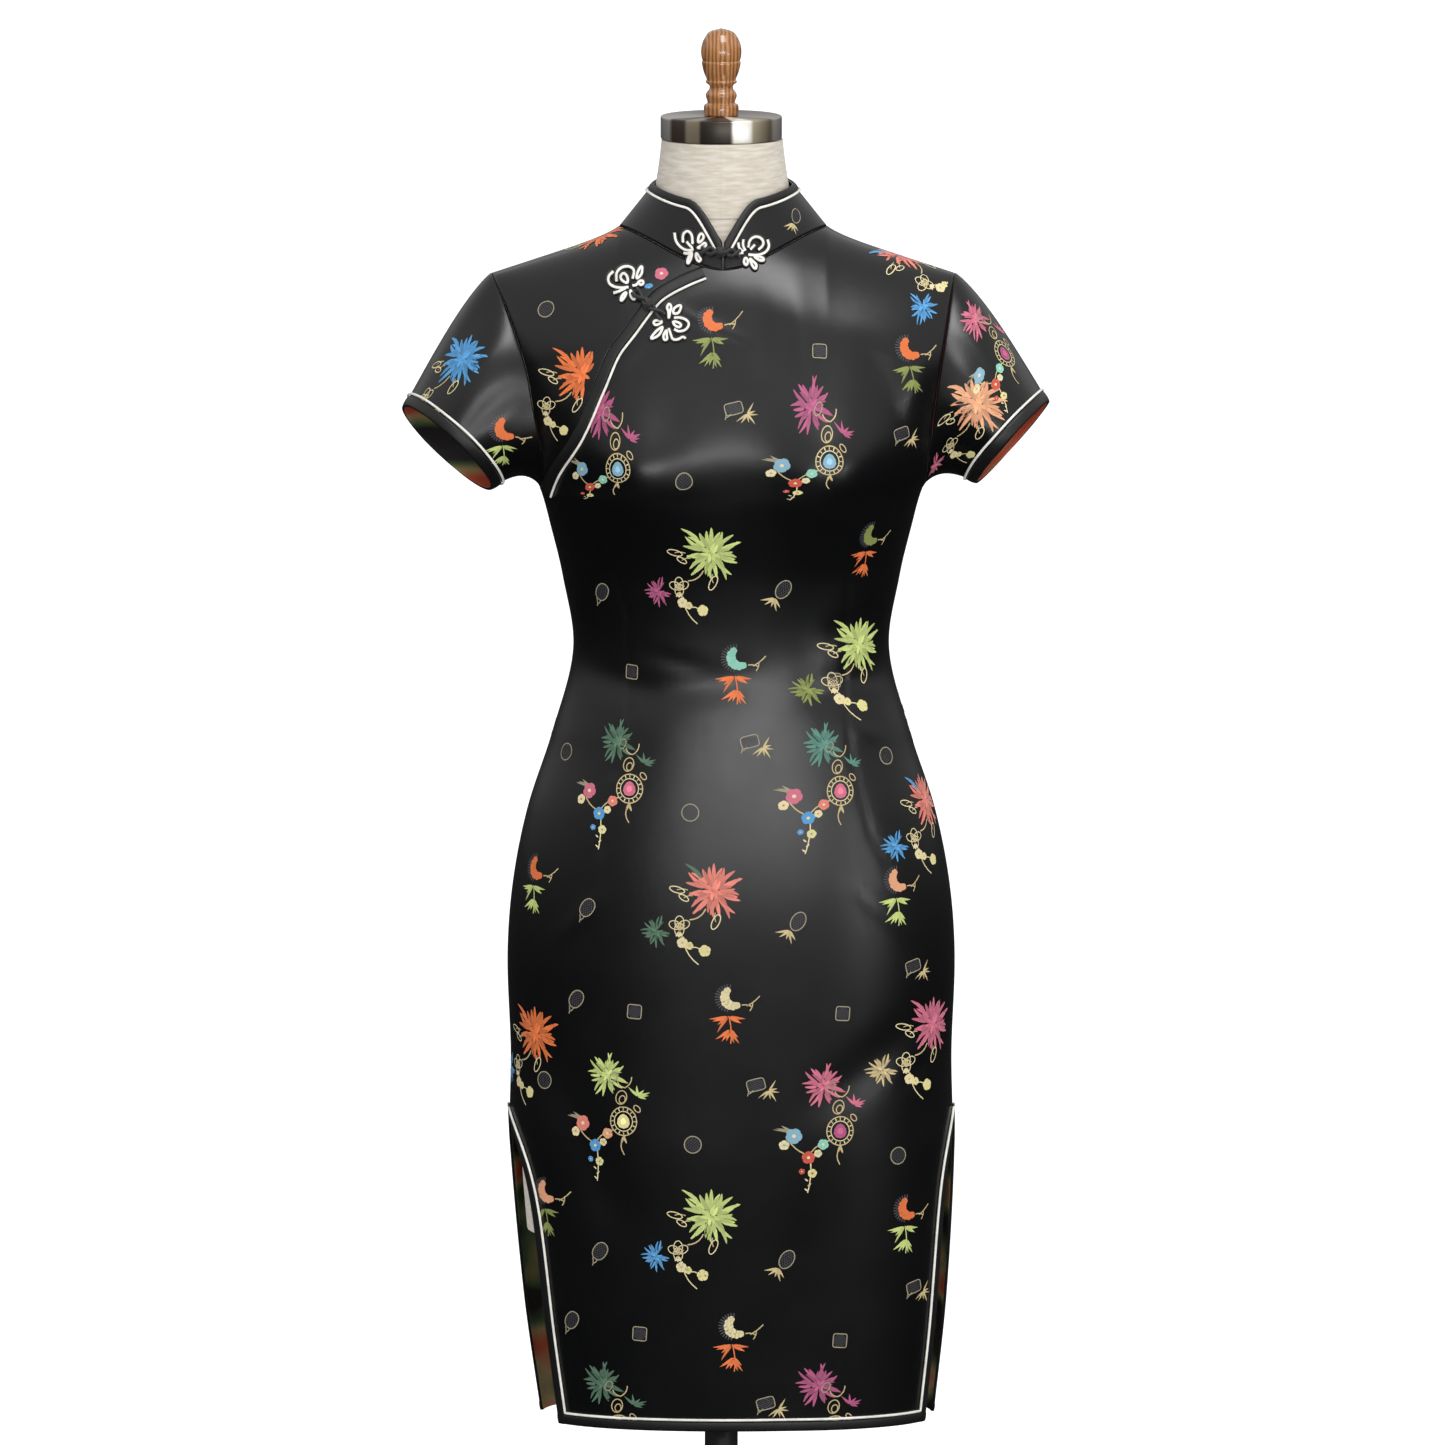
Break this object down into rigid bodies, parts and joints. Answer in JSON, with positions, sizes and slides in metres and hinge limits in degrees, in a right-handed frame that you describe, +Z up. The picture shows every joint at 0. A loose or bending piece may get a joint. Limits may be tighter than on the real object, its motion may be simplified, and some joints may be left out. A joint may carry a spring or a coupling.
{
  "type": "cheongsam on a limbless dress form",
  "caption": "Short-sleeved black satin brocade cheongsam with white piping and cord flowers, on a linen dress form with a metal neck cap, a wooden finial, a pole and a round base.",
  "frame": {"origin": "centre of the underside of the round base", "axes": "+Z up from the base to the finial, +X to the right of the picture, the front of the dress faces -Y"},
  "size_m": [0.5246, 0.36, 1.5938],
  "materials": {
    "satin_brocade": "satin",
    "binding_satin": "satin",
    "white_cord": "matte",
    "linen": "matte",
    "bronze": "brushed",
    "wood": "varnished",
    "black_metal": "satin"
  },
  "bodies": {
    "root": {"front": "satin_brocade", "front_yoke": "satin_brocade", "back": "satin_brocade", "sleeve_left": "satin_brocade", "sleeve_right": "satin_brocade", "collar": "satin_brocade", "opening_binding": "binding_satin", "opening_piping": "white_cord", "collar_binding": "binding_satin", "collar_piping": "white_cord", "sleeve_binding_left": "binding_satin", "sleeve_binding_right": "binding_satin", "sleeve_piping_left": "white_cord", "sleeve_piping_right": "white_cord", "front_hem_binding": "binding_satin", "front_hem_piping": "white_cord", "back_hem_binding": "binding_satin", "back_hem_piping": "white_cord", "flower_neck_left": "white_cord", "flower_neck_right": "white_cord", "flower_chest_left": "white_cord", "flower_chest_right": "white_cord", "knot_neck": "binding_satin", "knot_chest": "binding_satin", "form_torso": "linen", "form_cap": "bronze", "form_finial": "wood", "form_pole": "black_metal", "form_base": "black_metal"}
  },
  "joints": []
}
